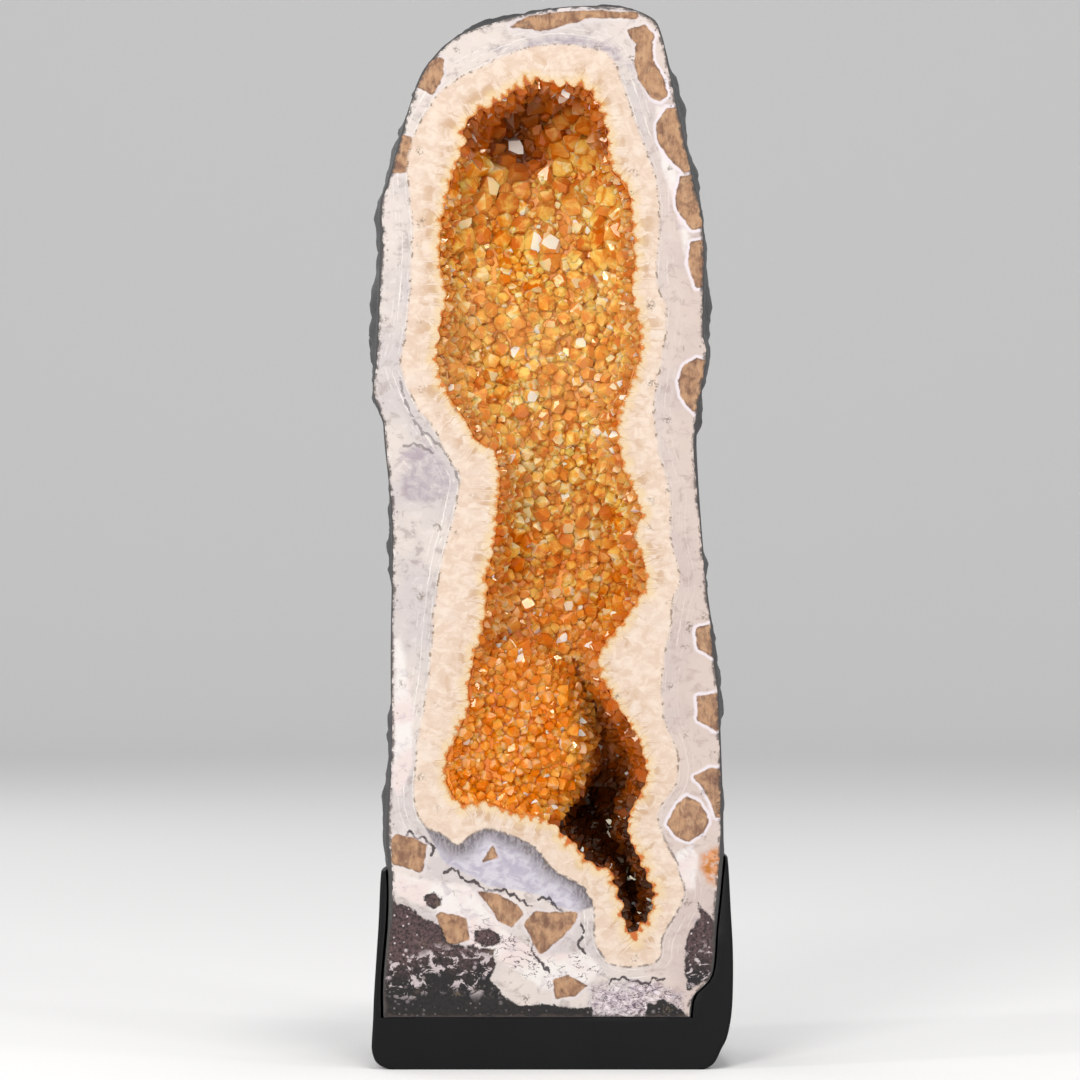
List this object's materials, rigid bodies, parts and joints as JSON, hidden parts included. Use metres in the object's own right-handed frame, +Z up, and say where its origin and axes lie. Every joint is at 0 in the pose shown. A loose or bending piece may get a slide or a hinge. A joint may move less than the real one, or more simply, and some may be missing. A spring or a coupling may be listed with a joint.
{
  "type": "citrine geode on a cast foot",
  "caption": "Tall half of a natural geode with a polished banded face and a hollow lined with amber citrine crystals, standing in a low dark cast foot.",
  "frame": {"origin": "bottom centre of the bounding box, under the foot", "axes": "+Z up along the geode, the polished face and the open hollow towards -Y, +X to the viewer's right"},
  "size_m": [0.1544, 0.12, 0.4515],
  "materials": {
    "banded_quartz": "polished quartz and agate on the face, rough dark coating on sides and back",
    "citrine": "clear to milky amber crystal faces",
    "dark_cast": "satin near-black paint on a smooth casting"
  },
  "bodies": {
    "root": {"geode_stone": "banded_quartz", "crystal_crust": "citrine", "cast_foot": "dark_cast"}
  },
  "joints": []
}
